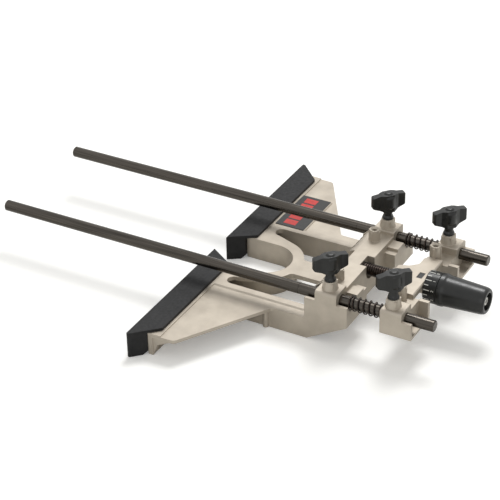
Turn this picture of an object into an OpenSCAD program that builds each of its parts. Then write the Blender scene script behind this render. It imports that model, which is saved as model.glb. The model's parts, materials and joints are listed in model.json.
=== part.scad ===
// Parallel edge guide for a router: a fence on two guide rods, with a fine adjuster between
// the guide casting and the bridge casting. All sizes are millimetres.
// Construction runs along X from the fence face (x = 0) towards the adjuster, Z is up from the work.

/* [Guide rods] */
// Diameter of each guide rod
rod_d = 10; // [8:0.5:11]
// Length of each guide rod
rod_length = 425; // [425:1:800]
// Distance between the two rod axes
rod_spacing = 112; // [106:1:122]
// Height of the rod axes above the work
rod_height = 41; // [40:0.5:44]
// Length of rod that stands out past the bridge, at the adjuster's side
rod_tail = 17; // [4:0.5:25]
// Chamfer on the rod ends
rod_chamfer = 0.8; // [0.2:0.1:2]
// Distance of a rod's setting line in front of the guide casting's block
line_gap = 8; // [4:0.5:20]
// Width of the setting line, a shallow groove turned round the rod
line_w = 1.2; // [0.8:0.1:2]
// Depth of the setting line
line_depth = 0.3; // [0.2:0.1:0.6]

/* [Fence] */
// Whole width of the fence, over both shoes
fence_w = 319; // [310:1:360]
// Gap between the two shoes
fence_gap = 21.4; // [16:0.2:30]
// Depth of a shoe in front of the casting's wall
shoe_depth = 14.2; // [11:0.1:18]
// Reach of the shoe's top flange over the casting's plate
flange_reach = 9.6; // [5:0.1:12]
// Thickness of the shoe's top flange
flange_t = 2.7; // [1:0.1:3.5]
// Wall of the shoe moulding
shoe_wall = 2.6; // [2:0.1:3.5]
// Chamfer on the shoe's lower rear edge
shoe_chamfer = 3.2; // [1:0.1:4]
// Splay of the shoes beside the gap: sideways step for each millimetre of depth
gap_splay = 0.655; // [0.3:0.005:0.8]
// Splay of the shoes' outer ends
outer_splay = 0.98; // [0.6:0.01:1.1]
// Radius of the corner between a shoe's outer end and the fence face
shoe_corner_r = 2; // [1:0.1:2.5]
// Pitch of the ribs inside a shoe
shoe_rib_pitch = 25; // [18:1:36]
// Thickness of the ribs inside a shoe
shoe_rib_t = 2; // [1.5:0.1:3]
// Height of the pockets' roof below the casting's plate
shoe_roof_drop = 1; // [0.5:0.1:2]

/* [Shoe screws] */
// Diameter of a shoe screw's shank
screw_d = 3.5; // [3:0.1:4]
// Diameter of its countersunk head
screw_head_d = 7; // [6:0.1:8]
// Length of a shoe screw
screw_length = 13; // [10:0.5:15]
// Number of screws in each shoe
screws_per_shoe = 3; // [2:1:4]
// Distance of the innermost screw from the gap between the shoes
screw_inset_in = 22; // [15:1:30]
// Distance of the outermost screw from the fence's end
screw_inset_out = 32; // [26:1:40]

/* [Guide casting] */
// Height of the casting's raised edges above the work
plate_top = 21.2; // [19:0.1:24]
// Thickness of the plate
plate_t = 4.2; // [3.4:0.1:5]
// Step down from the raised edges to the webs
web_drop = 1; // [0.6:0.1:2]
// Width of the raised strip behind the shoe's flange
edge_strip_w = 2.5; // [1:0.1:5]
// Wall that the shoes are screwed to
back_wall_t = 4.5; // [3.5:0.1:6]
// Other walls of the casting
wall_t = 3.6; // [3:0.1:4.5]
// Half width over the casting's two wings
wing_half = 147; // [135:0.5:150]
// Extra half width of the wall at a wing's tip
wing_flare = 0.7; // [0:0.1:2]
// Depth of a wing's tip, from the fence face
wing_tip_depth = 39; // [32:0.5:44]
// Radius of the wing's rear corner
wing_corner_r = 5; // [2:0.5:8]
// Distance from the fence face to where a wing meets its arm
wing_root_x = 88; // [74:0.5:100]
// Radius of the corner where a wing meets its arm
wing_root_r = 3; // [1:0.5:14]
// Radius of the central cut-out
cutout_r = 23.8; // [20:0.1:25]
// Distance from the fence face to the centre of the cut-out's arc
cutout_x = 46.8; // [40:0.1:52]
// Width of the arch of metal round the cut-out
arch_w = 9.9; // [7:0.1:11]
// Half width of the stem between the arch and the cross bar
stem_half = 12; // [9:0.5:14]
// Fillet between the arch and the stem
stem_fillet = 4; // [2:0.5:8]
// Distance from the fence face to the start of a window
window_x = 33; // [30:0.5:40]
// Inner edge of a window at its start, from the middle
window_in = 38.7; // [37:0.1:42]
// Distance from the fence face to where an arm's lower edge starts to rise
arm_knee_x = 121; // [110:0.5:128]
// Rise of that edge for each millimetre towards the adjuster
arm_slope = 0.557; // [0.4:0.001:0.7]
// Radius of the half round post on the arm's outer wall
arm_post_r = 2.8; // [2:0.1:4]
// Distance from the fence face to that post
arm_post_x = 82; // [70:0.5:95]
// Length of the gussets behind the wall, at the top
gusset_l = 16; // [6:0.5:20]

/* [Rod blocks] */
// Distance from the fence face to the clamping bore
clamp_x = 128.8; // [125:0.2:140]
// Length of the guide's clamping bore
clamp_l = 20; // [18:0.2:26]
// Length of the open trough in front of the bore
front_trough_l = 9.8; // [6:0.2:14]
// Length of the open trough behind the bore
rear_trough_l = 10; // [8:0.2:14]
// Metal above the rod
rod_cover = 4; // [3:0.1:6]
// Metal beside the bore, at the outer side
rod_side = 5; // [4:0.1:7]
// Radius of the blocks' outer top edges
block_edge_r = 2.8; // [1:0.1:4]
// Height of the guide's trough walls above the rod's axis
trough_rise = -0.4; // [-1:0.1:3]
// Radius of the trough round the rod
trough_r = 7.3; // [6.9:0.1:7.6]
// Half width at which the inner pads' lower lips start, from the middle
pad_in = 28; // [27:0.5:34]
// Width of that lip
pad_lip_w = 6; // [2:0.5:8]
// Height of an inner pad above the rod's axis
pad_rise = 2; // [0:0.5:4]
// Step down from the pad to its lip
pad_step = 2.8; // [2:0.1:7]
// Thickness of the ribs on the front of the cross bar
bar_rib_t = 2.4; // [1.6:0.1:3]
// Height of those ribs over the rounded front between them
bar_rib_h = 1.6; // [0.8:0.1:2.5]
// Height of the cross bar's top below the blocks' tops
bar_drop = 3.2; // [1:0.1:5]
// Half width of the notch round the spindle, at the adjuster's side of the cross bar
notch_half = 8; // [7:0.5:10]
// Depth of that notch
notch_l = 6.5; // [3:0.5:8]
// Clearance at a side of a running fit
running_gap = 0.05; // [0.02:0.01:0.09]
// Clearance between pieces that must not touch
free_gap = 0.3; // [0.2:0.05:0.5]

/* [Bridge casting] */
// Gap between the guide casting and the bridge casting, fully opened
bridge_gap = 30; // [26:0.5:32]
// Adjuster travel towards the guide
travel = 15; // [8:0.5:15]
// Length of the bridge's clamping bore
bridge_clamp_l = 19.5; // [17:0.5:24]
// Length of the open tray behind the bore
tray_l = 9; // [6:0.5:12]
// Depth of the bridge below the rod's axis
bridge_depth = 14; // [12:0.5:16]
// Inner edge of the bridge's blocks, from the middle
bridge_in = 28.5; // [26:0.5:32]
// Top of the bridge's middle plate above the rod's axis
bridge_plate_rise = 6; // [5:0.5:8]
// Thickness of the bridge's middle plate
bridge_plate_t = 5; // [4:0.5:7]
// Step down from the middle plate to the shelves that the posts stand on
bridge_shelf_drop = 4; // [2:0.5:4]
// Reach of the middle plate in front of the blocks
bridge_lip = 1.4; // [0.5:0.1:3]
// Height of the tray's outer wall above the rod's axis
tray_rise = 1.4; // [0.5:0.1:3]
// Height of the tray's inner wall above the rod's axis
tray_wall_rise = 3.5; // [1:0.5:5]
// Thickness of the tray's floor
tray_floor_t = 2.5; // [2:0.5:4]
// Length of the bridge's middle plate
bridge_plate_l = 14; // [10:0.5:15]
// Length of the spindle's hub in front of the middle plate
hub_l = 17.8; // [8:0.2:18]
// Radius of the hub
hub_r = 8; // [7:0.1:9]
// Side of the pointer's pocket along X
pointer_l = 5; // [3:0.5:6]
// Side of the pointer's pocket along Y
pointer_w = 9; // [5:0.5:10]
// Thickness of the pointer insert
pointer_t = 0.8; // [0.5:0.1:1.5]

/* [Bosses and posts] */
// Height of a clamp screw's boss above its block
boss_h = 8; // [6:0.5:12]
// Radius of the boss at its top
boss_top_r = 5.5; // [5:0.1:6.5]
// Radius of the boss at its foot
boss_foot_r = 7; // [6.5:0.1:8]
// Radius of the four flutes round a boss
flute_r = 1.3; // [0.8:0.1:1.8]
// Distance of the spare posts from the middle
post_y = 35; // [33.5:0.5:38]
// Height of the posts' tops below the bosses' tops
post_drop = 1; // [0.5:0.5:4]
// Depth of the blind hole in a spare post
post_hole_l = 6; // [4:0.5:9]
// Radius of a spare post at its foot
post_r = 5.2; // [4.5:0.1:6]
// Radius of the four flutes round a post
post_flute_r = 1; // [0.6:0.1:1.4]
// Diameter of the blind hole in a spare post
post_hole_d = 4; // [3:0.1:5]

/* [Clamp screws] */
// Diameter of a clamp screw's stud
stud_d = 6; // [5:0.5:7]
// Pitch of its thread
stud_pitch = 1; // [0.8:0.1:1.25]
// Turns that a clamp screw can be backed off
stud_turns = 1.25; // [0.5:0.25:2]
// Width over a wing knob's two lobes
wing_w = 31; // [24:0.5:36]
// Thickness of a lobe
lobe_t = 6.4; // [5:0.1:8]
// Radius of the wing knob's hub
wing_hub_r = 6.5; // [5.5:0.1:7.5]
// Height of the wing knob's neck and collar together
neck_h = 7.4; // [5:0.1:10]
// Radius of the neck
neck_r = 3.9; // [3.6:0.1:4.4]
// Radius of the collar
collar_r = 5.2; // [4.8:0.1:5.5]
// Height of the lobes
lobe_h = 15.6; // [12:0.1:18]
// Height of a lobe's lower corner above the lobes' foot
lobe_tip_z = 5.4; // [3:0.1:8]
// Height of the hub's crown above the lobes
crown_h = 2.8; // [1:0.1:4]
// Direction of the lobes, from the rods towards the rear
wing_angle = 49; // [0:1:90]

/* [Springs] */
// Wire diameter of a spring
wire_d = 1.2; // [0.8:0.1:1.3]
// Outer diameter of a spring
spring_d = 13.4; // [12.8:0.1:13.6]
// Free length of a spring
spring_l = 31.5; // [20:0.5:33]
// Coils of a spring
coils = 7.5; // [5:0.5:10]

/* [Adjuster] */
// Height of the spindle's axis, measured down from the rods
spindle_drop = 2; // [0:0.5:4]
// Outer diameter of the spindle's thread
spindle_d = 11; // [9:0.5:12]
// Pitch of the spindle's thread
spindle_pitch = 2; // [1:0.25:3]
// Diameter of the spindle's plain journal
journal_d = 8; // [6:0.5:9]
// Length of spindle past the cross bar, at the fence's side
spindle_tip_l = 3.6; // [3:0.2:8]
// Diameter of the retaining ring on the spindle's tip
ring_d = 13; // [12.5:0.5:14]
// Thickness of the thrust washer
washer_t = 1.2; // [0.8:0.1:2]
// Outer radius of the dial ring
dial_r = 14; // [12.5:0.1:16]
// Length of the dial ring
dial_l = 12; // [7:0.5:14]
// Wall of the dial ring
dial_wall = 2.2; // [1.6:0.1:3]
// Length of the knob from the dial ring to the nose
knob_l = 42.2; // [30:0.1:50]
// Radius of the knob's rim beside the dial
knob_rim_r = 14.4; // [13:0.1:16]
// Length of that rim
knob_rim_l = 4; // [2:0.5:8]
// Step down from the rim to the tapered grip
knob_step = 0.8; // [0.4:0.1:2]
// Radius of the knob's nose
nose_r = 11.4; // [9:0.1:13]
// Radius of the recess in the nose
nose_recess_r = 7.4; // [5:0.1:9]
// Depth of the recess in the nose
nose_recess_h = 4; // [2:0.5:6]

/* [Label plate] */
// Length of the label plate, across the guide
label_w = 56; // [30:1:60]
// Width of the label plate, along the rods
label_l = 28.5; // [15:0.5:30]
// Thickness of the label plate
label_t = 0.6; // [0.3:0.1:1]

/* [Hidden] */
$fn = 48;
eps = 0.01;              // overlap that makes two solids of one piece into one

// rods and blocks
rod_r = rod_d / 2;
rod_y = rod_spacing / 2;
bore_r = rod_r + running_gap;
block_top = rod_height + rod_r + rod_cover;
arm_half = rod_y + rod_r + rod_side;         // outer face of arms and blocks
arm_in = rod_y - rod_r - 1;                  // inner face of an arm's channel, outer edge of a window
trough_top = rod_height + trough_rise;
block_inner_r = 1;                           // radius of the blocks' inner top edges
trough_x = clamp_x - front_trough_l;
clamp_end = clamp_x + clamp_l;
guide_end = clamp_end + rear_trough_l;
guide_boss_x = clamp_x + clamp_l / 2 - 0.4;
bar_top = block_top - bar_drop;
bar_front_top = bar_top - 1;                 // top of the cross bar's rounded front

// bridge
bridge_x = guide_end + bridge_gap;
bridge_clamp_end = bridge_x + bridge_clamp_l;
bridge_end = bridge_clamp_end + tray_l;
bridge_base = rod_height - bridge_depth;
bridge_plate_top = rod_height + bridge_plate_rise;
bridge_boss_x = bridge_x + bridge_clamp_l / 2 - 2.2;
bridge_shelf_z = bridge_plate_top - bridge_shelf_drop;
tray_top = rod_height + tray_rise;
tray_wall_z = rod_height + tray_wall_rise;
block_in = rod_y - trough_r - 2;             // inner face of a bridge block's tall part
plate_lap = 1.5;                             // lap of the middle plate over the shelves
hub_x = bridge_x - hub_l;
hub_end = bridge_x + bridge_plate_l;
pointer_x = bridge_x + (bridge_plate_l - pointer_l) / 2;
pointer_seat = 0.4;                          // depth of the pointer insert's face below the plate

// fence and plate
wall_x = shoe_depth;
plate_x = wall_x + back_wall_t;
flange_end = wall_x + flange_reach;
web_top = plate_top - web_drop;
web_x = flange_end + edge_strip_w;
shoe_top = plate_top + flange_t;
fence_half = fence_w / 2;
gap_half = fence_gap / 2;
// sharp corner of a shoe's outer end; its rounding then comes out at the fence's half width
shoe_corner_y = fence_half + shoe_corner_r * (outer_splay - 1 + sqrt(1 + pow(outer_splay, 2)));
arch_r = cutout_r + arch_w;
label_y = arm_in + 5.5;

// adjuster
spindle_z = rod_height - spindle_drop;
spindle_x = clamp_x - spindle_tip_l;         // the spindle's tip
thread_end = hub_x - washer_t - running_gap; // shoulder that bears on the washer
dial_x = hub_end + free_gap;
knob_x = dial_x + dial_l;
nose_x = knob_x + knob_l;
journal_end = nose_x - nose_recess_h - 6;
ring_t = 1.2;                                // thickness of the retaining ring
ring_gap = 0.8;                              // its distance from the spindle's tip
groove_r = spindle_d / 2 - 0.9;              // bottom of its groove
nose_screw_r = 2;                            // shank of the screw that holds the knob
nose_screw_bite = 6;                         // its reach into the spindle
spigot_r = dial_r - dial_wall;               // part of the knob that the dial ring turns on

// rods along X
rod_end = bridge_end + rod_tail;
rod_start = rod_end - rod_length;
line_x = trough_x - line_gap - line_w;       // start of a rod's setting line

// clamp screws
stud_tip_z = rod_height + rod_r + free_gap;
boss_top = block_top + boss_h;
post_top = boss_top - post_drop;
post_taper = 0.7;                            // a post is that much slimmer at its top
post_back = 2.8;                             // offset of a post from its boss, towards the fence
wing_z = boss_top + free_gap;
lobe_z = wing_z + neck_h;
stud_top = lobe_z + lobe_h - 6;
stud_bore_r = stud_d / 2 + running_gap;

// middle of the whole guide, which becomes the origin
mid_x = (rod_start + nose_x) / 2;

// ---- helpers ----

function unit(v) = v / norm(v);

// points of one corner [x, y, radius] rounded by an arc, between its neighbours
function corner(a, p, b, steps) =
    p[2] <= 0 ? [[p[0], p[1]]] :
    let (c = [p[0], p[1]],
         ua = unit([a[0], a[1]] - c),
         ub = unit([b[0], b[1]] - c),
         half = acos(ua * ub) / 2,
         m = c + unit(ua + ub) * p[2] / sin(half),
         s = c + ua * p[2] / tan(half) - m,
         e = c + ub * p[2] / tan(half) - m,
         turn = atan2(s[0] * e[1] - s[1] * e[0], s * e),
         start = atan2(s[1], s[0]))
    [for (i = [0 : steps]) m + p[2] * [cos(start + turn * i / steps), sin(start + turn * i / steps)]];

function rounded(pts, steps = 5) =
    let (n = len(pts))
    [for (i = [0 : n - 1]) each corner(pts[(i + n - 1) % n], pts[i], pts[(i + 1) % n], steps)];

// points along an arc, ready for rounded() with no rounding of their own
function arc(centre, r, from, to, steps) = [for (i = [0 : steps])
    let (a = from + (to - from) * i / steps) [centre[0] + r * cos(a), centre[1] + r * sin(a), 0]];

// a half outline, from the middle outwards, completed by its mirror image across Y = 0
function both_halves(pts) =
    concat(pts, [for (i = [len(pts) - 1 : -1 : 0]) [pts[i][0], -pts[i][1], pts[i][2]]]);

module placed() translate([-mid_x, 0, 0]) children();

// children once on each side of the middle
module both_sides() {
    children();
    mirror([0, 1, 0]) children();
}

// a side outline in X and Z, made solid from y0 to y1
module side_slab(y0, y1) translate([0, y1, 0]) rotate([90, 0, 0]) linear_extrude(y1 - y0) children();

// a round bar along +X
module x_rod(r, l) rotate([0, 90, 0]) cylinder(r = r, h = l);

// a revolved profile (radius, distance) with its axis along +X
module x_turned(pts) rotate([0, 90, 0]) rotate_extrude() polygon(pts);

// ---- guide casting ----

module plate_outline() polygon(rounded(both_halves([
    [wall_x, wing_half + wing_flare, 0.8],
    [wing_tip_depth, wing_half, wing_corner_r],
    [wing_root_x, arm_half, wing_root_r],
    [clamp_x + eps, arm_half, 0]])));

// central cut-out, open towards the work
module cutout_outline() {
    translate([cutout_x, 0]) circle(r = cutout_r, $fn = 96);
    translate([0, -cutout_r]) square([cutout_x, 2 * cutout_r]);
}

// one window between the arch, the stem and the arm, at +Y: a rounded start, a straight run that
// touches the arch, the arch itself, and a fillet into the stem
module window_outline(x_end) {
    r_start = (arm_in - window_in) / 2;
    start = [window_x + r_start, window_in + r_start];
    touch = atan2(window_in, start[0] - cutout_x) - acos(arch_r / norm([start[0] - cutout_x, window_in]));
    fillet_a = asin((stem_half + stem_fillet) / (arch_r + stem_fillet));
    fillet_x = cutout_x + (arch_r + stem_fillet) * cos(fillet_a);
    polygon(rounded([
        each arc(start, r_start, 90, 270, 12),
        each arc([cutout_x, 0], arch_r, touch, fillet_a, 16),
        each arc([fillet_x, stem_half + stem_fillet], stem_fillet, fillet_a + 180, 270, 6),
        [x_end, stem_half, 3],
        [x_end, arm_in, 3]]));
}

// raised edges: the strip behind the flange, the arch, the stem and a band along each window
module raised_plate() {
    translate([0, 0, plate_top - plate_t]) linear_extrude(plate_t) intersection() {
        plate_outline();
        union() {
            square([web_x * 2, 2 * (wing_half + wing_flare)], center = true);
            translate([wall_x, -arm_in]) square([clamp_x - wall_x + eps, 2 * arm_in]);
        }
    }
    // band with a sloping outer side
    band_w = 6;
    both_sides() translate([wall_x, 0, 0]) rotate([90, 0, 90])
        linear_extrude(clamp_x - wall_x) polygon([
            [arm_in - eps, plate_top - plate_t], [arm_in - eps, plate_top], [arm_in + band_w, plate_top],
            [arm_in + band_w + web_drop * 2, web_top - eps], [arm_in + band_w, plate_top - plate_t]]);
}

// raised pad on the rear wing for the label plate
module label_pad() translate([web_x - eps, label_y - 0.5, web_top - eps])
    cube([label_l + 1, label_w + 1, web_drop + eps]);

module wing_plate() translate([0, 0, plate_top - plate_t])
    linear_extrude(plate_t - web_drop) plate_outline();

// wall round the cut-out, down to the work
module cutout_wall() linear_extrude(plate_top - plate_t + eps) difference() {
    union() {
        translate([cutout_x, 0]) circle(r = cutout_r + wall_t, $fn = 96);
        translate([plate_x - eps, -cutout_r - wall_t])
            square([cutout_x - plate_x + eps, 2 * (cutout_r + wall_t)]);
    }
    cutout_outline();
}

// outline of an arm's outer wall, seen from the side
module arm_side() polygon([
    [plate_x - eps, 0], [arm_knee_x, 0], [guide_end, arm_rise(guide_end)], [guide_end, trough_top],
    [trough_x, trough_top], [trough_x, plate_top - plate_t], [plate_x - eps, plate_top - plate_t]]);

// height of an arm's lower edge behind the knee
function arm_rise(x) = (x - arm_knee_x) * arm_slope;

// lower edge of everything behind the cross bar's front
module above_slope() side_slab(-arm_half - 1, arm_half + 1) polygon([
    [0, 0], [arm_knee_x, 0], [guide_end + 1, arm_rise(guide_end + 1)],
    [guide_end + 1, boss_top + 1], [0, boss_top + 1]]);

module arm() {
    side_slab(arm_half - wall_t, arm_half) arm_side();
    // inner wall of the arm's channel, which is also the window's outer wall
    translate([window_x, arm_in, 0]) cube([trough_x - window_x + eps, wall_t, plate_top - plate_t + eps]);
    // half round post on the outer wall
    translate([arm_post_x, arm_half, 0]) cylinder(r = arm_post_r, h = plate_top - plate_t + eps, $fn = 24);
}

// cross section of a clamping block, from y_in to the outer face, made solid over length l along X
module block_section(y_in, l) rotate([90, 0, 90]) linear_extrude(l) polygon(rounded([
    [y_in, 0, 0], [arm_half, 0, 0], [arm_half, block_top, block_edge_r], [y_in, block_top, block_inner_r]]));

module rod_block() intersection() {
    above_slope();
    difference() {
        union() {
            translate([trough_x, arm_in - wall_t, 0])
                cube([guide_end - trough_x, arm_half - arm_in + wall_t, trough_top]);
            translate([clamp_x, 0, 0]) block_section(arm_in - wall_t, clamp_l);
        }
        // channel below the rod
        translate([trough_x - 1, arm_in, -1])
            cube([clamp_end - trough_x - wall_t + 1, arm_half - arm_in - wall_t,
                  rod_height - trough_r - wall_t + 1]);
    }
}

// ribbed, rounded front of the cross bar and plain pad behind it, at +Y
module inner_pads() {
    first = stem_half + bar_rib_t;
    last = arm_in - wall_t;
    ribs = 4;
    side_slab(stem_half, last + eps) bar_front(bar_rib_h);
    for (i = [0 : ribs - 1])
        let (y = first + i * (last - first) / ribs) side_slab(y, y + bar_rib_t) bar_front(0);
    translate([trough_x, arm_in - wall_t, 0]) gusset_up();
    // pad with a lower lip
    pad_top = rod_height + pad_rise;
    translate([clamp_end - eps, pad_in, 0])
        cube([rear_trough_l + eps, arm_in - pad_in - wall_t + eps, pad_top - pad_step]);
    translate([clamp_end - eps, pad_in + pad_lip_w, 0])
        cube([rear_trough_l + eps, arm_in - pad_in - pad_lip_w - wall_t + eps, pad_top]);
}

// outline of the cross bar's rounded front, seen from the side and drawn in by inset
module bar_front(inset) {
    r = front_trough_l - inset;
    foot_z = rod_height - trough_r - wall_t;
    polygon(concat([[trough_x + inset, foot_z], [clamp_x + eps, foot_z]],
        [for (a = [90 : 15 : 180])
            [clamp_x + r * cos(a) + (a == 90 ? eps : 0), bar_front_top - r + r * sin(a)]]));
}

// sloping inner cheek of the front trough
module gusset_up() side_slab(0, wall_t) polygon([
    [0, trough_top - eps], [front_trough_l + eps, trough_top - eps], [front_trough_l + eps, block_top]]);

// the bar that joins the blocks and carries the spindle's nut thread
module cross_bar() difference() {
    bar_z = plate_top - plate_t;
    translate([clamp_x, -arm_in, bar_z]) cube([clamp_l, 2 * arm_in, bar_top - bar_z]);
    // hollow from below on each side of the spindle
    both_sides() translate([clamp_x + wall_t, spindle_d, bar_z - 1])
        cube([clamp_l - 2 * wall_t, arm_in - wall_t * 2 - spindle_d, bar_top - bar_z - wall_t + 1]);
    // notch round the spindle, open at the top
    translate([clamp_end - notch_l, 0, spindle_z]) {
        x_rod(notch_half, notch_l + 1);
        translate([0, -notch_half, 0]) cube([notch_l + 1, 2 * notch_half, block_top]);
    }
}

module clamp_boss() {
    cylinder(r1 = boss_foot_r, r2 = boss_top_r, h = boss_h);
    for (a = [45 : 90 : 315])
        rotate(a) translate([boss_top_r, 0, 0]) cylinder(r = flute_r, h = boss_h - 1, $fn = 16);
}

// a spare post that stands on a surface at height z
module spare_post(z) translate([0, 0, z - eps]) {
    cylinder(r1 = post_r, r2 = post_r - post_taper, h = post_top - z);
    for (a = [0 : 90 : 270])
        rotate(a) translate([post_r - post_taper, 0, 0])
            cylinder(r = post_flute_r, h = post_top - z - 1.2, $fn = 16);
}

module spare_post_hole() {
    sink = 1;
    translate([0, 0, post_top - post_hole_l]) cylinder(r = post_hole_d / 2, h = post_hole_l + eps);
    translate([0, 0, post_top - sink])
        cylinder(r1 = post_hole_d / 2, r2 = post_hole_d / 2 + sink, h = sink + eps);
}

// gussets that stiffen the wall behind the shoes: steep at the foot, flat under the plate
module gussets() for (y = [(arm_half + wing_half) / 2, wing_half - wall_t])
    translate([0, y, 0]) side_slab(0, wall_t) polygon([
        [plate_x - eps, 0], [plate_x - eps, plate_top - plate_t + eps],
        [plate_x + gusset_l, plate_top - plate_t + eps], [plate_x + gusset_l / 4, plate_top / 2]]);

module screw_spots() {
    first = gap_half + screw_inset_in;
    last = fence_half - screw_inset_out;
    for (i = [0 : screws_per_shoe - 1])
        translate([plate_x, first + i * (last - first) / (screws_per_shoe - 1), plate_top / 2 - 1])
            children();
}

// countersunk hole through the wall, for a screw that points at the work
module screw_hole() rotate([0, -90, 0]) {
    translate([0, 0, -eps]) cylinder(r = screw_d / 2 + free_gap, h = back_wall_t + 2 * eps, $fn = 24);
    head_cone();
}

module head_cone()
    cylinder(r1 = screw_head_d / 2, r2 = screw_d / 2, h = (screw_head_d - screw_d) / 2, $fn = 24);

module guide_casting() color("#b9b4ab") placed() difference() {
    union() {
        translate([wall_x, -wing_half - wing_flare, 0])
            cube([back_wall_t, 2 * (wing_half + wing_flare), plate_top]);
        wing_plate();
        raised_plate();
        label_pad();
        cutout_wall();
        cross_bar();
        both_sides() {
            arm();
            rod_block();
            intersection() {
                above_slope();
                inner_pads();
            }
            gussets();
            translate([guide_boss_x, rod_y, block_top - eps]) clamp_boss();
            translate([guide_boss_x - post_back, post_y, 0]) spare_post(bar_top);
        }
    }
    translate([0, 0, -1]) linear_extrude(plate_top + 2) cutout_outline();
    both_sides() {
        translate([0, 0, plate_top - plate_t - 1]) linear_extrude(plate_t + 2) window_outline(trough_x);
        // rod bore, and the open troughs before and behind it
        translate([trough_x - 1, rod_y, rod_height]) x_rod(bore_r, guide_end - trough_x + 2);
        for (t = [[trough_x - 1, front_trough_l + 1], [clamp_end, rear_trough_l + 1]])
            translate([t[0], rod_y, rod_height]) {
                x_rod(trough_r, t[1]);
                translate([0, -trough_r, 0]) cube([t[1], 2 * trough_r, block_top]);
            }
        // stud's thread
        translate([guide_boss_x, rod_y, rod_height]) cylinder(r = stud_bore_r, h = boss_top);
        translate([guide_boss_x - post_back, post_y, 0]) spare_post_hole();
        screw_spots() screw_hole();
    }
    // spindle's nut thread
    translate([clamp_x - 1, 0, spindle_z]) x_rod(spindle_d / 2 + running_gap, clamp_l + 2);
}

// ---- fence shoes ----

// plan of a shoe from the fence face back to depth d, at +Y
module shoe_plan(d, inset = 0) polygon(rounded([
    [inset, gap_half + inset * (1 + gap_splay), 0], [d, gap_half + d * gap_splay + inset, 0],
    [d, shoe_corner_y - d * outer_splay - inset, 0],
    [inset, shoe_corner_y - inset * (1 + outer_splay), max(0, shoe_corner_r - inset)]]));

module fence_shoe() {
    difference() {
        union() {
            // front block with its lower rear edge chamfered
            intersection() {
                linear_extrude(shoe_top) shoe_plan(shoe_depth);
                side_slab(0, fence_half) polygon([
                    [0, 0], [shoe_depth - shoe_chamfer, 0], [shoe_depth, shoe_chamfer],
                    [shoe_depth, shoe_top], [0.8, shoe_top], [0, shoe_top - 0.8]]);
            }
            translate([0, 0, plate_top]) linear_extrude(flange_t)
                intersection() {
                    shoe_plan(flange_end);
                    translate([shoe_depth - 1, 0]) square([flange_reach + 1, fence_half]);
                }
        }
        // pockets between the ribs, open towards the casting's wall
        intersection() {
            linear_extrude(shoe_top) shoe_plan(shoe_depth + 1, shoe_wall);
            side_slab(0, fence_half) polygon([
                [shoe_wall, shoe_wall], [shoe_depth - shoe_chamfer, shoe_wall],
                [shoe_depth + 1, shoe_chamfer + shoe_wall + 1], [shoe_depth + 1, plate_top - shoe_roof_drop],
                [shoe_wall, plate_top - shoe_roof_drop]]);
            difference() {
                cube([shoe_depth + 2, fence_half, shoe_top]);
                for (y = [gap_half + shoe_rib_pitch : shoe_rib_pitch : fence_half])
                    translate([-1, y, -1]) cube([shoe_depth + 4, shoe_rib_t, shoe_top + 2]);
                screw_spots() translate([-plate_x, 0, 0]) x_rod(screw_d / 2 + 1.8, shoe_depth + 2);
            }
        }
        screw_spots() translate([-(plate_x - wall_x) - (screw_length - back_wall_t) - 0.5, 0, 0])
            x_rod(screw_d / 2 + running_gap, screw_length);
    }
}

module fence_shoe_rear() color("#1d1d1f") placed() fence_shoe();

module fence_shoe_front() color("#1d1d1f") placed() mirror([0, 1, 0]) fence_shoe();

module shoe_screws() color("#8e8e90") placed() both_sides() screw_spots() rotate([0, -90, 0]) difference() {
    union() {
        head_cone();
        cylinder(r = screw_d / 2, h = screw_length, $fn = 24);
    }
    // cross slot
    for (a = [0, 90]) rotate(a) translate([-2, -0.4, -1]) cube([4, 0.8, 2]);
}

module label_plate() color("#191a1b") placed()
    translate([web_x, label_y, plate_top]) cube([label_l, label_w, label_t]);

// ---- bridge casting ----

module bridge_block() {
    // shelf that the post stands on
    translate([bridge_x, bridge_in, bridge_base])
        cube([bridge_clamp_l, arm_half - bridge_in, bridge_shelf_z - bridge_base]);
    // closed part over the rod
    intersection() {
        side_slab(block_in, arm_half) polygon(rounded([
            [bridge_x, bridge_base, 0], [bridge_end, bridge_base, 0], [bridge_end, tray_top, 1],
            [bridge_clamp_end, tray_top, 0], [bridge_clamp_end, block_top, 1], [bridge_x, block_top, 1]]));
        translate([bridge_x, 0, 0]) block_section(block_in, bridge_end - bridge_x);
    }
    // tray behind the closed part
    translate([bridge_clamp_end - eps, bridge_in, bridge_base])
        cube([tray_l + eps, block_in - bridge_in + eps, tray_wall_z - bridge_base]);
}

// room cut out of a block: the tray, its pocket and the space round the rod
module bridge_cuts() {
    translate([bridge_clamp_end, bridge_in + wall_t, bridge_base + tray_floor_t])
        cube([tray_l + 1, rod_y + trough_r - bridge_in - wall_t, block_top]);
    translate([bridge_x - 1, rod_y, rod_height]) x_rod(bore_r, bridge_clamp_l + 2);
    translate([bridge_boss_x, rod_y, rod_height]) cylinder(r = stud_bore_r, h = boss_top);
    translate([bridge_boss_x - post_back, post_y, 0]) spare_post_hole();
    // hollow below the middle of the block
    translate([bridge_x + wall_t, bridge_in + wall_t, bridge_base - 1])
        cube([bridge_clamp_l - 2 * wall_t, block_in - bridge_in - wall_t * 2,
              bridge_shelf_z - bridge_base - wall_t]);
}

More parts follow.
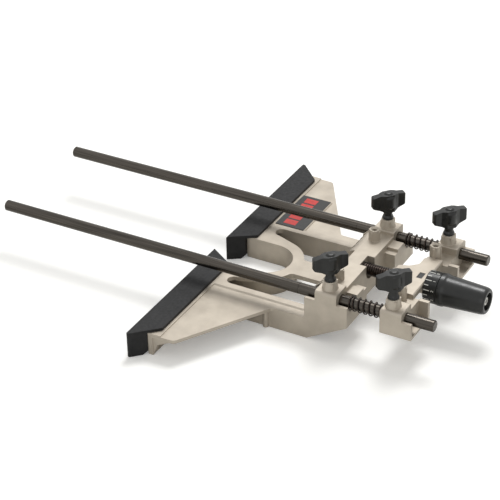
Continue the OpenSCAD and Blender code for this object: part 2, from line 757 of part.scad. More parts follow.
module bridge_middle() {
    plate_in = bridge_in + plate_lap;
    plate_z = bridge_plate_top - bridge_plate_t;
    side_slab(-plate_in, plate_in) polygon([
        [bridge_x, plate_z], [hub_end, plate_z], [hub_end, bridge_plate_top - 1],
        [hub_end - 1, bridge_plate_top], [bridge_x, bridge_plate_top]]);
    // front edge: straight beside the posts, then out along the hub as a tongue
    translate([0, 0, plate_z]) linear_extrude(bridge_plate_t)
        polygon(rounded(both_halves([
            [hub_x + 1, hub_r - 1, 1.5], [bridge_x - 8, hub_r + 1.5, 6],
            [bridge_x - bridge_lip, 2 * hub_r, 4],
            [bridge_x - bridge_lip, plate_in - 4, 2], [bridge_x + 1, plate_in - 1, 0]])));
    translate([hub_x, 0, spindle_z]) x_rod(hub_r, hub_end - hub_x);
    // web that carries the hub's underside
    web_z = spindle_z - hub_r + 2;
    both_sides() translate([bridge_x + 2, hub_r - 2, web_z])
        cube([wall_t, bridge_in - hub_r + 2 + eps, plate_z + 1 - web_z]);
}

module bridge_casting() color("#b9b4ab") placed() difference() {
    union() {
        bridge_middle();
        both_sides() {
            bridge_block();
            translate([bridge_boss_x, rod_y, block_top - eps]) clamp_boss();
            translate([bridge_boss_x - post_back, post_y, 0]) spare_post(bridge_shelf_z);
        }
    }
    both_sides() bridge_cuts();
    translate([hub_x - 1, 0, spindle_z]) x_rod(journal_d / 2 + running_gap, hub_end - hub_x + 2);
    translate([pointer_x, -pointer_w / 2, bridge_plate_top - pointer_t - pointer_seat])
        cube([pointer_l, pointer_w, pointer_t + 2]);
}

module pointer_insert() color("#151515") placed()
    translate([pointer_x, -pointer_w / 2, bridge_plate_top - pointer_t - pointer_seat])
        cube([pointer_l, pointer_w, pointer_t]);

// ---- rods and springs ----

module guide_rod() translate([rod_start, 0, rod_height]) x_turned([
    [0, 0], [rod_r - rod_chamfer, 0], [rod_r, rod_chamfer],
    [rod_r, line_x - rod_start], [rod_r - line_depth, line_x - rod_start],
    [rod_r - line_depth, line_x + line_w - rod_start], [rod_r, line_x + line_w - rod_start],
    [rod_r, rod_length - rod_chamfer], [rod_r - rod_chamfer, rod_length], [0, rod_length]]);

module rod_front() color("#55504c") placed() translate([0, -rod_y, 0]) guide_rod();

module rod_rear() color("#55504c") placed() translate([0, rod_y, 0]) guide_rod();

// compression spring along +X: wire swept along a helix whose last turns are closed
module spring() {
    per_turn = 22;
    sides = 8;
    n = round(coils * per_turn);
    mean_r = (spring_d - wire_d) / 2;
    closed = 0.9;                                   // closed turns at each end
    lead = (spring_l - wire_d * (1 + 2 * closed)) / (coils - 2 * closed);
    function rise(t) = wire_d / 2 + wire_d * min(t, closed) + lead * max(0, min(t, coils - closed) - closed)
        + wire_d * max(0, t - coils + closed);
    points = [for (i = [0 : n], k = [0 : sides - 1])
        let (t = i / per_turn, turn = 360 * t, a = 360 * k / sides, r = mean_r + wire_d / 2 * cos(a))
        [rise(t) + wire_d / 2 * sin(a), r * cos(turn), r * sin(turn)]];
    faces = concat(
        [[for (k = [0 : sides - 1]) k]],
        [for (i = [0 : n - 1], k = [0 : sides - 1])
            let (a = i * sides + k, b = i * sides + (k + 1) % sides)
            [a, a + sides, b + sides, b]],
        [[for (k = [sides - 1 : -1 : 0]) n * sides + k]]);
    polyhedron(points, faces);
}

module spring_at(y) placed() translate([bridge_x - spring_l - 0.02, y, rod_height]) spring();

module spring_front() color("#3a3634") spring_at(-rod_y);

module spring_rear() color("#3a3634") spring_at(rod_y);

// ---- clamp screws ----

module clamp_stud(x, y) color("#5d5a57") placed() translate([x, y, stud_tip_z]) {
    cylinder(r1 = stud_d / 2 - 1, r2 = stud_d / 2, h = 1);
    translate([0, 0, 1]) cylinder(r = stud_d / 2, h = stud_top - stud_tip_z - 1);
}

module clamp_stud_guide_front() clamp_stud(guide_boss_x, -rod_y);

module clamp_stud_guide_rear() clamp_stud(guide_boss_x, rod_y);

module clamp_stud_bridge_front() clamp_stud(bridge_boss_x, -rod_y);

module clamp_stud_bridge_rear() clamp_stud(bridge_boss_x, rod_y);

// lobes seen from the side: thin tips, deep at the hub
module lobe_side() polygon(rounded([
    [-wing_w / 2, lobe_tip_z, 1], [-wing_hub_r - 1, 1.8, 3], [-neck_r, 0, 0], [neck_r, 0, 0],
    [wing_hub_r + 1, 1.8, 3], [wing_w / 2, lobe_tip_z, 1], [wing_w / 2, lobe_h, 1.2],
    [wing_hub_r, lobe_h + crown_h * 0.5, 2], [-wing_hub_r, lobe_h + crown_h * 0.5, 2],
    [-wing_w / 2, lobe_h, 1.2]]));

// lobes seen from above: waisted, with full tips
module lobe_plan() polygon(rounded(both_halves([
    [-wing_w / 2, lobe_t / 2, 1.6], [-wing_hub_r - 2, lobe_t / 2 - 0.5, 2],
    [-wing_hub_r + 2.6, wing_hub_r - 1.5, 2],
    [wing_hub_r - 2.6, wing_hub_r - 1.5, 2], [wing_hub_r + 2, lobe_t / 2 - 0.5, 2],
    [wing_w / 2, lobe_t / 2, 1.6]])));

module wing_knob(x, y) color("#19191b") placed() translate([x, y, wing_z]) difference() {
    union() {
        // collar, neck and crowned hub
        rotate_extrude() polygon(rounded([
            [0, 0, 0], [collar_r, 0, 0.4], [collar_r - 0.5, 2, 0.5],
            [neck_r, 3.4, 1], [neck_r, neck_h + 1, 1],
            [wing_hub_r, neck_h + 5, 1.5], [wing_hub_r, neck_h + lobe_h - 1, 2.5],
            [3, neck_h + lobe_h + crown_h, 2], [0, neck_h + lobe_h + crown_h, 0]]));
        translate([0, 0, neck_h]) rotate(wing_angle) intersection() {
            side_slab(-wing_hub_r, wing_hub_r) lobe_side();
            linear_extrude(lobe_h + crown_h) lobe_plan();
        }
    }
    translate([0, 0, -1]) cylinder(r = stud_bore_r, h = stud_top - wing_z + 1 + free_gap);
}

module wing_knob_guide_front() wing_knob(guide_boss_x, -rod_y);

module wing_knob_guide_rear() wing_knob(guide_boss_x, rod_y);

module wing_knob_bridge_front() wing_knob(bridge_boss_x, -rod_y);

module wing_knob_bridge_rear() wing_knob(bridge_boss_x, rod_y);

// ---- adjuster ----

module on_spindle(x) placed() translate([x, 0, spindle_z]) children();

// the tip is grooved for its retaining ring; the journal runs in the bridge's hub and on into the knob
module adjuster_spindle() color("#2c2a29") on_spindle(spindle_x) x_turned([
    [0, 0], [spindle_d / 2 - 0.6, 0], [spindle_d / 2 - 0.3, ring_gap],
    [groove_r, ring_gap], [groove_r, ring_gap + ring_t],
    [spindle_d / 2, ring_gap + ring_t], [spindle_d / 2, thread_end - spindle_x],
    [journal_d / 2, thread_end - spindle_x], [journal_d / 2, journal_end - spindle_x],
    [nose_screw_r + running_gap, journal_end - spindle_x],
    [nose_screw_r + running_gap, journal_end - spindle_x - nose_screw_bite - free_gap],
    [0, journal_end - spindle_x - nose_screw_bite - free_gap]]);

module spindle_ring() color("#6b6662") on_spindle(spindle_x + ring_gap) difference() {
    x_rod(ring_d / 2, ring_t);
    translate([-1, 0, 0]) x_rod(groove_r, ring_t + 2);
    rotate([45, 0, 0]) translate([-1, 0, -1.5]) cube([ring_t + 2, ring_d, 3]);
}

module thrust_washer() color("#8d8a86") on_spindle(hub_x - washer_t) difference() {
    x_rod(hub_r - 0.6, washer_t);
    translate([-1, 0, 0]) x_rod(journal_d / 2 + running_gap, washer_t + 2);
}

module dial_ring() color("#141414") on_spindle(dial_x) x_turned(rounded([
    [spigot_r + running_gap, 0, 0], [dial_r - 0.8, 0, 0], [dial_r, 0.8, 0],
    [dial_r, dial_l - free_gap, 0], [spigot_r + running_gap, dial_l - free_gap, 0]]));

module adjuster_knob() color("#141414") on_spindle(dial_x) difference() {
    x_turned(rounded([
        [0, 0, 0], [spigot_r, 0, 0], [spigot_r, dial_l, 0], [knob_rim_r, dial_l, 0.6],
        [knob_rim_r, dial_l + knob_rim_l, 1], [knob_rim_r - knob_step, dial_l + knob_rim_l + 2, 1.5],
        [nose_r + 0.5, dial_l + knob_l - 3, 1], [nose_r - 0.8, dial_l + knob_l, 1.2],
        [nose_recess_r + 0.6, dial_l + knob_l, 0.4], [nose_recess_r, dial_l + knob_l - nose_recess_h, 0.3],
        [0, dial_l + knob_l - nose_recess_h, 0]]));
    translate([-1, 0, 0]) x_rod(journal_d / 2, journal_end - dial_x + 1);
    // screw's hole through the floor of the recess
    x_rod(nose_screw_r + 0.1, knob_l + dial_l);
}

module nose_screw() color("#a9a7a4") on_spindle(nose_x - nose_recess_h) difference() {
    union() {
        x_turned([[0, 0], [4.2, 0], [4.2, 1.2], [3.4, 2.4], [0, 2.4]]);
        translate([journal_end - nose_x + nose_recess_h - nose_screw_bite, 0, 0])
            x_rod(nose_screw_r, nose_x - nose_recess_h - journal_end + nose_screw_bite + eps);
    }
    // cross recess
    translate([1.4, 0, 0]) for (a = [0, 90])
        rotate([a, 0, 0]) translate([0, -2.4, -0.45]) cube([2, 4.8, 0.9]);
}

guide_casting();
fence_shoe_front();
fence_shoe_rear();
shoe_screws();
label_plate();
bridge_casting();
pointer_insert();
rod_front();
rod_rear();
spring_front();
spring_rear();
clamp_stud_guide_front();
clamp_stud_guide_rear();
clamp_stud_bridge_front();
clamp_stud_bridge_rear();
wing_knob_guide_front();
wing_knob_guide_rear();
wing_knob_bridge_front();
wing_knob_bridge_rear();
adjuster_spindle();
spindle_ring();
thrust_washer();
dial_ring();
adjuster_knob();
nose_screw();
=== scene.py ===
import json
import math

import bmesh
import bpy
from mathutils import Matrix, Vector


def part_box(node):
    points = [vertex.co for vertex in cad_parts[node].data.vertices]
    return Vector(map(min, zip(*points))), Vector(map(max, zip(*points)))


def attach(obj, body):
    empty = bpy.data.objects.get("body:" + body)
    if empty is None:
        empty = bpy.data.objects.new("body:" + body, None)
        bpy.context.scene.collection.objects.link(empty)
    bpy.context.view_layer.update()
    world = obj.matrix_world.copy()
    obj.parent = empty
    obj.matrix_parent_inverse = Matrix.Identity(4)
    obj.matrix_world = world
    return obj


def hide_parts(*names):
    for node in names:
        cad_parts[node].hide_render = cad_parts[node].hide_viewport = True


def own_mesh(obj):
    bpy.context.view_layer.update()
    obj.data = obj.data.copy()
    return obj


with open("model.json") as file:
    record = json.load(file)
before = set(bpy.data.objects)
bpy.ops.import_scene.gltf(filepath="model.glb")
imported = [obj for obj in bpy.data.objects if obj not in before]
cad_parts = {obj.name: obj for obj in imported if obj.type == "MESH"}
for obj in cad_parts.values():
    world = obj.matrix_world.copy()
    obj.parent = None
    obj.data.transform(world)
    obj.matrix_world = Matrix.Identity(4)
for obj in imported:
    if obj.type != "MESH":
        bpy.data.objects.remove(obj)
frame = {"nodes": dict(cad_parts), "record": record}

MM = 0.001
X_AXIS = Vector((1, 0, 0))
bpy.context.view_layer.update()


# ---------------------------------------------------------------- places, all read from the frame

def middle(name):
    """The centre of a CAD node's box."""
    low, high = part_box(name)
    return (low + high) / 2


SIDES = ("front", "rear")
CASTINGS = ("guide", "bridge")
spindle_axis = middle("adjuster_knob")
knob_low, knob_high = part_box("adjuster_knob")
dial_low, dial_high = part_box("dial_ring")
spindle_low, spindle_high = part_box("adjuster_spindle")
washer_low, washer_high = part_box("thrust_washer")


# ---------------------------------------------------------------- materials

def linear(code):
    """An sRGB hex value as a linear colour."""
    parts = [int(code[i:i + 2], 16) / 255 for i in (1, 3, 5)]
    return (*[c / 12.92 if c <= 0.04045 else ((c + 0.055) / 1.055) ** 2.4 for c in parts], 1)


def add(tree, kind, settings=None, **sockets):
    """Adds a node. Settings are its properties. A socket is named, or numbered as in n0, and
    takes a value or another node's output."""
    made = tree.nodes.new(kind)
    for key, value in (settings or {}).items():
        setattr(made, key, value)
    for key, value in sockets.items():
        numbered = key[0] == "n" and key[1:].isdigit()
        socket = made.inputs[int(key[1:]) if numbered else key.replace("_", " ")]
        if isinstance(value, bpy.types.NodeSocket):
            tree.links.new(value, socket)
        else:
            socket.default_value = value
    return made


def new_material(name):
    made = bpy.data.materials.new(name)
    made.use_nodes = True
    return made, made.node_tree, made.node_tree.nodes["Principled BSDF"]


def coordinates(tree, stretch=(1, 1, 1)):
    """Object coordinates, stretched along the axes where the pattern runs one way."""
    place = add(tree, "ShaderNodeTexCoord").outputs["Object"]
    return add(tree, "ShaderNodeMapping", Vector=place, Scale=stretch).outputs["Vector"]


def noise(tree, size_mm, detail=2.0, stretch=(1, 1, 1)):
    """Noise whose spots are about size_mm across."""
    return add(tree, "ShaderNodeTexNoise", Vector=coordinates(tree, stretch),
               Scale=1000 / size_mm, Detail=detail).outputs["Fac"]


def between(tree, factor, low, high):
    """Runs from low to high as the factor goes from 0.3 to 0.7, where noise spends its time."""
    return add(tree, "ShaderNodeMapRange", Value=factor, From_Min=0.3, From_Max=0.7,
               To_Min=low, To_Max=high).outputs["Result"]


def two_tone(tree, pattern, first, second):
    """Two sRGB colours mixed by a pattern."""
    mix = add(tree, "ShaderNodeMix", {"data_type": "RGBA"}, n0=between(tree, pattern, 0.0, 1.0),
              n6=linear(first), n7=linear(second))
    return mix.outputs[2]


def finish_material(tree, shader, colour=None, rough=None, grain=None, depth_mm=0.05, edge_mm=0.0):
    """Links colour and roughness, and turns a grain into a bump over edges rounded by edge_mm."""
    if colour is not None:
        tree.links.new(colour, shader.inputs["Base Color"])
    if rough is not None:
        tree.links.new(rough, shader.inputs["Roughness"])
    normal = None
    if edge_mm:
        normal = add(tree, "ShaderNodeBevel", {"samples": 6}, Radius=edge_mm * MM).outputs["Normal"]
    if grain is not None:
        bump = add(tree, "ShaderNodeBump", Height=grain, Distance=depth_mm * MM, Strength=0.6)
        if normal is not None:
            tree.links.new(normal, bump.inputs["Normal"])
        normal = bump.outputs["Normal"]
    if normal is not None:
        tree.links.new(normal, shader.inputs["Normal"])


def cast_aluminium():
    """Die-cast aluminium, bead blasted: a soft warm grey with a fine even grit and slightly
    uneven tone from the blasting. The grit is drawn at 0.8 mm, coarser than the real 0.15 mm,
    so that it still shows."""
    made, tree, shader = new_material("bead_blasted_cast_aluminium")
    shader.inputs["Metallic"].default_value = 0.55
    tone = two_tone(tree, noise(tree, 18, 3), "#aca396", "#bdb4a6")
    finish_material(tree, shader, tone, between(tree, noise(tree, 6, 3), 0.42, 0.56),
                    noise(tree, 0.8, 3), depth_mm=0.06, edge_mm=0.5)
    return made


def moulded_plastic():
    """Glass-filled nylon, moulded with a spark-eroded texture: matt black that greys a little
    where the light grazes it."""
    made, tree, shader = new_material("textured_black_nylon")
    shader.inputs["Specular IOR Level"].default_value = 0.3
    tone = two_tone(tree, noise(tree, 9, 3), "#141415", "#1c1c1d")
    finish_material(tree, shader, tone, between(tree, noise(tree, 3), 0.5, 0.66),
                    noise(tree, 0.7, 2), depth_mm=0.05, edge_mm=0.35)
    return made


def knob_plastic():
    """Phenolic knobs pressed in a polished mould: deep black with a broad soft shine and a few
    dull handling marks."""
    made, tree, shader = new_material("pressed_black_phenolic")
    shader.inputs["Specular IOR Level"].default_value = 0.35
    shader.inputs["Coat Weight"].default_value = 0.15
    shader.inputs["Coat Roughness"].default_value = 0.18
    tone = two_tone(tree, noise(tree, 7, 2), "#101110", "#191a18")
    finish_material(tree, shader, tone, between(tree, noise(tree, 4, 3), 0.28, 0.42),
                    noise(tree, 2.2, 2), depth_mm=0.03)
    return made


def drawn_rod_steel():
    """Drawn and tempered steel bar: dark grey, a little brown, with lengthwise drawing lines."""
    made, tree, shader = new_material("drawn_tempered_steel")
    shader.inputs["Metallic"].default_value = 1.0
    lines = noise(tree, 1.2, 3, stretch=(0.02, 1, 1))
    tone = two_tone(tree, lines, "#403d39", "#5c5751")
    rough = between(tree, noise(tree, 5, 3, stretch=(0.2, 1, 1)), 0.2, 0.32)
    finish_material(tree, shader, tone, rough, lines, depth_mm=0.02)
    return made


def blackened_steel():
    """Oil-blackened steel: nearly black, with brown in the thin places and a dull metal shine."""
    made, tree, shader = new_material("oil_blackened_steel")
    shader.inputs["Metallic"].default_value = 1.0
    tone = two_tone(tree, noise(tree, 3, 3), "#2b2624", "#4a413b")
    finish_material(tree, shader, tone, between(tree, noise(tree, 2, 2), 0.26, 0.4),
                    noise(tree, 1, 2), depth_mm=0.02)
    return made


def zinc_plated_steel():
    """Bright zinc plating: pale grey metal with faint turning lines."""
    made, tree, shader = new_material("zinc_plated_steel")
    shader.inputs["Metallic"].default_value = 1.0
    tone = two_tone(tree, noise(tree, 2.5, 2), "#a8a6a0", "#c6c4be")
    finish_material(tree, shader, tone, between(tree, noise(tree, 1.5, 2), 0.24, 0.34),
                    noise(tree, 0.8, 2), depth_mm=0.02)
    return made


def printed_foil(name, low, high):
    """Self-adhesive printed polyester foil: an even ink film with a satin skin and a slight
    orange-peel from the adhesive."""
    made, tree, shader = new_material(name)
    tone = two_tone(tree, noise(tree, 4, 3), low, high)
    finish_material(tree, shader, tone, between(tree, noise(tree, 3, 2), 0.32, 0.44),
                    noise(tree, 1.5, 2), depth_mm=0.015)
    return made


MATERIALS = {
    "cast_aluminium": cast_aluminium(),
    "moulded_black": moulded_plastic(),
    "knob_black": knob_plastic(),
    "rod_steel": drawn_rod_steel(),
    "black_steel": blackened_steel(),
    "bright_steel": zinc_plated_steel(),
    "label_black": printed_foil("black_printed_foil", "#161616", "#1d1e1d"),
    "label_red": printed_foil("red_printed_foil", "#b3231f", "#cc2f28"),
    "dial_white": printed_foil("white_filled_marks", "#cfcfc9", "#e2e2dc"),
}

for part in frame["record"]["subparts"]:
    slots = frame["nodes"][part["node"]].data.materials
    slots.clear()
    slots.append(MATERIALS[part["material_slot"]])


# ---------------------------------------------------------------- making pieces

def piece(name, form, body, material, replaces=(), smooth_deg=35):
    """Turns a finished bmesh into a piece that rides on a body and may stand for CAD nodes."""
    bmesh.ops.remove_doubles(form, verts=form.verts, dist=1e-7)
    bmesh.ops.recalc_face_normals(form, faces=form.faces)
    mesh = bpy.data.meshes.new(name)
    form.to_mesh(mesh)
    form.free()
    mesh.shade_smooth()
    mesh.set_sharp_from_angle(angle=math.radians(smooth_deg))
    mesh.materials.append(MATERIALS[material])
    made = bpy.data.objects.new(name, mesh)
    bpy.context.scene.collection.objects.link(made)
    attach(made, body)
    if replaces:
        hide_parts(*replaces)
    return made


def round_edges(made, width_mm, segments=3, angle_deg=28):
    """Rounds the sharp edges of a piece with a bevel modifier."""
    bevel = made.modifiers.new("rounded_edges", "BEVEL")
    bevel.width = width_mm * MM
    bevel.segments = segments
    bevel.limit_method = "ANGLE"
    bevel.angle_limit = math.radians(angle_deg)
    bevel.harden_normals = True
    return made


def turned(points, centre, steps=72):
    """A turned solid about a line along X. Points are (distance along X, radius), end to end."""
    form = bmesh.new()
    ring = [form.verts.new((x, centre.y, centre.z + r)) for x, r in points]
    edges = [form.edges.new(pair) for pair in zip(ring, ring[1:])]
    bmesh.ops.spin(form, geom=ring + edges, cent=centre, axis=X_AXIS, dvec=(0, 0, 0),
                   angle=2 * math.pi, steps=steps, use_merge=True)
    bmesh.ops.remove_doubles(form, verts=form.verts, dist=1e-7)
    return form


def softened(node, name, body, slot, width_mm, segments=3):
    """A CAD node's own shape with its edges rounded as a moulded or cast part's are."""
    form = bmesh.new()
    form.from_mesh(frame["nodes"][node].data)
    bmesh.ops.remove_doubles(form, verts=form.verts, dist=2e-6)
    bmesh.ops.dissolve_limit(form, angle_limit=math.radians(0.6),
                             verts=form.verts, edges=form.edges)
    return round_edges(piece(name, form, body, slot, replaces=[node]), width_mm, segments)


# ---------------------------------------------------------------- wing knobs

for casting in CASTINGS:
    for side in SIDES:
        softened(f"wing_knob_{casting}_{side}", f"wing_{casting}_{side}_softened",
                 f"wing_{casting}_{side}", "knob_black", 0.5)


# ---------------------------------------------------------------- coil springs

WIRE = 1.2 * MM
WIRE_SIDES = 12
STEPS_A_TURN = 36
CLOSED_TURNS = 0.9
COILS = 7.5


def coil_spring(node):
    """A compression spring: a round wire screwed along the rod, with its end turns closed."""
    low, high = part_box(node)
    centre = (low + high) / 2
    mean = (high.z - low.z) / 2 - WIRE / 2
    open_turns = COILS - 2 * CLOSED_TURNS
    lead = (high.x - low.x - WIRE * (1 + 2 * CLOSED_TURNS)) / open_turns
    form = bmesh.new()
    start = Matrix.Translation((low.x + WIRE / 2, centre.y + mean, centre.z))
    ends = bmesh.ops.create_circle(form, cap_ends=False, segments=WIRE_SIDES, radius=WIRE / 2,
                                   matrix=start)
    loop = list({e for v in ends["verts"] for e in v.link_edges}) + ends["verts"]
    for turns, rise in ((CLOSED_TURNS, WIRE), (open_turns, lead), (CLOSED_TURNS, WIRE)):
        steps = round(turns * STEPS_A_TURN)
        spun = bmesh.ops.spin(form, geom=loop, cent=centre, axis=X_AXIS,
                              dvec=X_AXIS * rise * turns / steps,
                              angle=2 * math.pi * turns, steps=steps)
        loop = spun["geom_last"]
    bmesh.ops.holes_fill(form, edges=[e for e in form.edges if e.is_boundary], sides=0)
    made = piece(f"{node}_coils", form, "bridge", "black_steel", replaces=[node])
    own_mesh(made)


for side in SIDES:
    coil_spring(f"spring_{side}")


# ---------------------------------------------------------------- threaded spindle

PITCH = 2.0 * MM
THREAD_DEPTH = 0.9 * MM
JOURNAL = 4 * MM
TIP = 3.2 * MM               # plain tip in front of the thread
TIP_DROP = 0.3 * MM          # the tip is that much slimmer than the thread
SHOULDER = 0.6 * MM          # plain collar that bears on the washer
ROOT = 0.1 * MM              # the thread's ridge starts that far inside the core


def threaded_spindle():
    """The adjuster's spindle: its tip, a true helical thread, and the journal in the bridge."""
    outer = (spindle_high.z - spindle_low.z) / 2
    core = outer - THREAD_DEPTH
    start, end = spindle_low.x + TIP, washer_low.x - 0.2 * MM
    form = turned([(spindle_low.x, 0), (spindle_low.x, outer - 2 * TIP_DROP),
                   (spindle_low.x + 0.8 * MM, outer - TIP_DROP),
                   (spindle_low.x + 2.0 * MM, outer - TIP_DROP), (start, core),
                   (end - SHOULDER, core), (end - SHOULDER, outer), (end, outer), (end, JOURNAL),
                   (spindle_high.x, JOURNAL), (spindle_high.x, 0)], spindle_axis)
    turns = math.floor((end - 0.4 * MM - start) / PITCH) - 1
    profile = [(0.0, core - ROOT), (0.45 * MM, outer), (0.95 * MM, outer), (1.4 * MM, core - ROOT)]
    ridge = [form.verts.new((start + x, spindle_axis.y, spindle_axis.z + r)) for x, r in profile]
    edges = [form.edges.new(pair) for pair in zip(ridge, ridge[1:] + ridge[:1])]
    bmesh.ops.spin(form, geom=ridge + edges, cent=spindle_axis, axis=X_AXIS,
                   dvec=X_AXIS * PITCH / STEPS_A_TURN, angle=2 * math.pi * turns,
                   steps=turns * STEPS_A_TURN)
    bmesh.ops.holes_fill(form, edges=[e for e in form.edges if e.is_boundary], sides=0)
    piece("threaded_spindle", form, "knob", "black_steel", replaces=["adjuster_spindle"])


threaded_spindle()


# ---------------------------------------------------------------- dial and its scale

DIAL_MARKS = 20
DIAL_WALL = 2.1 * MM
DIAL_CHAMFER = 0.6 * MM
MARK_START = 0.7 * MM        # from the dial's front edge
LONG_MARK, SHORT_MARK, MARK_WIDTH = 5.6 * MM, 4.0 * MM, 0.7 * MM
PRINT_DEPTH = 0.1 * MM       # thickness of a printed mark or bar, half of it sunk in
NUMBER_PLACE = 8.9 * MM      # middle of the numbers, from the dial's front edge
NUMBER_SIZE = 3.6 * MM
dial_radius = (dial_high.z - dial_low.z) / 2


def on_dial(mark, along):
    """A place on the dial's skin at one of its marks, with Z pointing outwards."""
    turn = 2 * math.pi * mark / DIAL_MARKS
    return (Matrix.Translation(spindle_axis) @ Matrix.Rotation(turn, 4, "X")
            @ Matrix.Translation((dial_low.x - spindle_axis.x + along, 0, dial_radius)))


def dial():
    """The dial's ring and its marks, every second one longer."""
    inner = dial_radius - DIAL_WALL
    form = turned([(dial_low.x, inner), (dial_low.x, dial_radius - DIAL_CHAMFER),
                   (dial_low.x + DIAL_CHAMFER, dial_radius), (dial_high.x, dial_radius),
                   (dial_high.x, inner), (dial_low.x, inner)], spindle_axis)
    round_edges(piece("dial_body", form, "dial", "knob_black", replaces=["dial_ring"]), 0.25)
    marks = bmesh.new()
    for i in range(DIAL_MARKS):
        reach = LONG_MARK if i % 2 == 0 else SHORT_MARK
        size = Matrix.Diagonal((reach, MARK_WIDTH, PRINT_DEPTH, 1))
        bmesh.ops.create_cube(marks, size=1, matrix=on_dial(i, MARK_START + reach / 2) @ size)
    piece("dial_marks", marks, "dial", "dial_white")


dial()


def dial_number(i):
    """A raised number on the dial, beside every second mark."""
    text = bpy.data.curves.new(f"number_{i}", "FONT")
    text.body = str(i)
    text.size = NUMBER_SIZE
    text.align_x = text.align_y = "CENTER"
    text.extrude = 0.08 * MM
    flat = bpy.data.objects.new(f"number_{i}", text)
    mesh = bpy.data.meshes.new_from_object(flat)
    bpy.data.objects.remove(flat)
    form = bmesh.new()
    form.from_mesh(mesh)
    place = on_dial(2 * i, NUMBER_PLACE) @ Matrix.Rotation(math.pi / 2, 4, "Z")
    bmesh.ops.transform(form, verts=form.verts, matrix=place)
    piece(f"dial_number_{i}", form, "dial", "dial_white")


for i in range(DIAL_MARKS // 2):
    dial_number(i)


# ---------------------------------------------------------------- adjuster knob

# outline of the rim in millimetres: distance past the dial, and radius against the rim's own
RIM = [(0.3, -0.5), (0.8, 0), (3.6, 0), (4.6, -0.25), (5.4, -0.6), (6.6, -0.85), (9, -1.0)]
# outline of the nose, its recess, the screw's hole and the bore: distance back from the nose, radius
NOSE = [(5, 12.0), (3, 11.75), (1.6, 11.4), (0.6, 10.9), (0.1, 10.3), (0, 9.7), (0, 8.3),
        (0.25, 7.8), (4, 7.4), (4, 2.1), (10, 2.1), (10, 4.05)]
SPIGOT = 11.8 * MM
BORE = 4.05 * MM


def adjuster_knob():
    """The knob, turned: the spigot that carries the dial, a polished rim, a long taper and a
    rounded nose with a recess for its screw."""
    rim = (knob_high.z - knob_low.z) / 2
    profile = [(dial_low.x, BORE), (dial_low.x, SPIGOT), (dial_high.x + RIM[0][0] * MM, SPIGOT),
               *[(dial_high.x + x * MM, rim + r * MM) for x, r in RIM],
               *[(knob_high.x - x * MM, r * MM) for x, r in NOSE], (dial_low.x, BORE)]
    piece("adjuster_knob_turned", turned(profile, spindle_axis, 96), "knob", "knob_black",
          replaces=["adjuster_knob"])


adjuster_knob()


# ---------------------------------------------------------------- label

LABEL_BARS = 5
BAR_GAP = 2.2 * MM
BAR_MARGIN = 4 * MM
BAR_HEIGHT = 0.42            # share of the label's width, and also where the bars' middle lies


def label():
    """The label is left generic: a plain black foil with a row of red bars."""
    low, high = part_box("label_plate")
    form = bmesh.new()
    size = high - low
    bmesh.ops.create_cube(form, size=1, matrix=Matrix.Translation((low + high) / 2)
                          @ Matrix.Diagonal((*size, 1)))
    round_edges(piece("label_foil", form, "guide", "label_black", replaces=["label_plate"]), 0.2)
    bars = bmesh.new()
    reach = (size.y - 2 * BAR_MARGIN - BAR_GAP * (LABEL_BARS - 1)) / LABEL_BARS
    for i in range(LABEL_BARS):
        centre = Vector((low.x + size.x * BAR_HEIGHT,
                         low.y + BAR_MARGIN + reach / 2 + i * (reach + BAR_GAP), high.z))
        bmesh.ops.create_cube(bars, size=1, matrix=Matrix.Translation(centre)
                              @ Matrix.Diagonal((size.x * BAR_HEIGHT, reach, PRINT_DEPTH, 1)))
    piece("label_bars", bars, "guide", "label_red")


label()


# ---------------------------------------------------------------- stage, lights and camera

def white_to_the_eye(tree, lit, white):
    """Shows white to camera, mirror and glass rays, and leaves the light on the object plain."""
    seen = add(tree, "ShaderNodeLightPath")
    glossy = add(tree, "ShaderNodeMath", {"operation": "MAXIMUM"},
                 n0=seen.outputs["Is Camera Ray"], n1=seen.outputs["Is Glossy Ray"])
    through = add(tree, "ShaderNodeMath", {"operation": "MAXIMUM"}, n0=glossy.outputs[0],
                  n1=seen.outputs["Is Transmission Ray"])
    return add(tree, "ShaderNodeMixShader", n0=through.outputs[0], n1=lit, n2=white).outputs[0]


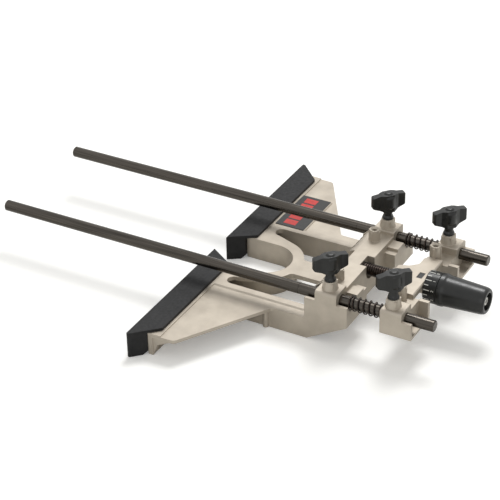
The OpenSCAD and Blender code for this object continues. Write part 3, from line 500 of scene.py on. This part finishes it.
def stage():
    """A white room and a white table that keeps the guide's shadow."""
    world = bpy.data.worlds.new("plain_white_room")
    bpy.context.scene.world = world
    world.use_nodes = True
    tree = world.node_tree
    room = tree.nodes["Background"]
    room.inputs["Color"].default_value = linear("#fbfaf7")
    room.inputs["Strength"].default_value = 0.62
    white = add(tree, "ShaderNodeBackground", Color=(1, 1, 1, 1), Strength=1.0).outputs[0]
    tree.links.new(white_to_the_eye(tree, room.outputs[0], white),
                   tree.nodes["World Output"].inputs["Surface"])

    form = bmesh.new()
    bmesh.ops.create_grid(form, x_segments=1, y_segments=1, size=6)
    mesh = bpy.data.meshes.new("white_table")
    form.to_mesh(mesh)
    form.free()
    table = bpy.data.objects.new("white_table", mesh)
    bpy.context.scene.collection.objects.link(table)
    table.location.z = -0.0004
    made, tree, shader = new_material("white_paper_sweep")
    shader.inputs["Base Color"].default_value = linear("#f4f4f2")
    shader.inputs["Roughness"].default_value = 0.8
    glow = add(tree, "ShaderNodeEmission", Color=(1, 1, 1, 1), Strength=0.2).outputs[0]
    seen = add(tree, "ShaderNodeLightPath").outputs["Is Camera Ray"]
    nothing = add(tree, "ShaderNodeEmission", Strength=0.0).outputs[0]
    own = add(tree, "ShaderNodeMixShader", n0=seen, n1=nothing, n2=glow).outputs[0]
    both = add(tree, "ShaderNodeAddShader", n0=shader.outputs[0], n1=own).outputs[0]
    tree.links.new(both, tree.nodes["Material Output"].inputs["Surface"])
    mesh.materials.append(made)


def lamp(name, place, size, watts):
    """A soft square lamp that looks at the middle of the guide."""
    light = bpy.data.lights.new(name, "AREA")
    light.size = size
    light.energy = watts
    holder = bpy.data.objects.new(name, light)
    bpy.context.scene.collection.objects.link(holder)
    holder.location = place
    aim = Vector((0, 0, 0.03)) - Vector(place)
    holder.rotation_euler = aim.to_track_quat("-Z", "Y").to_euler()


def camera():
    """Three quarters from the right and above, with a long lens and a slight roll."""
    data = bpy.data.cameras.new("camera")
    data.lens = 134.0
    data.sensor_width = 36.0
    data.clip_end = 20
    holder = bpy.data.objects.new("camera", data)
    bpy.context.scene.collection.objects.link(holder)
    holder.location = (0.6868, -1.2167, 0.9048)
    holder.rotation_euler = [math.radians(a) for a in (57.814, 1.057, 28.877)]
    bpy.context.scene.camera = holder


stage()
lamp("key_lamp", (-0.1, 0.75, 1.5), 0.6, 16)
lamp("front_lamp", (0.6, -1.4, 0.8), 0.9, 1.8)
camera()
bpy.context.scene.view_settings.view_transform = "Standard"
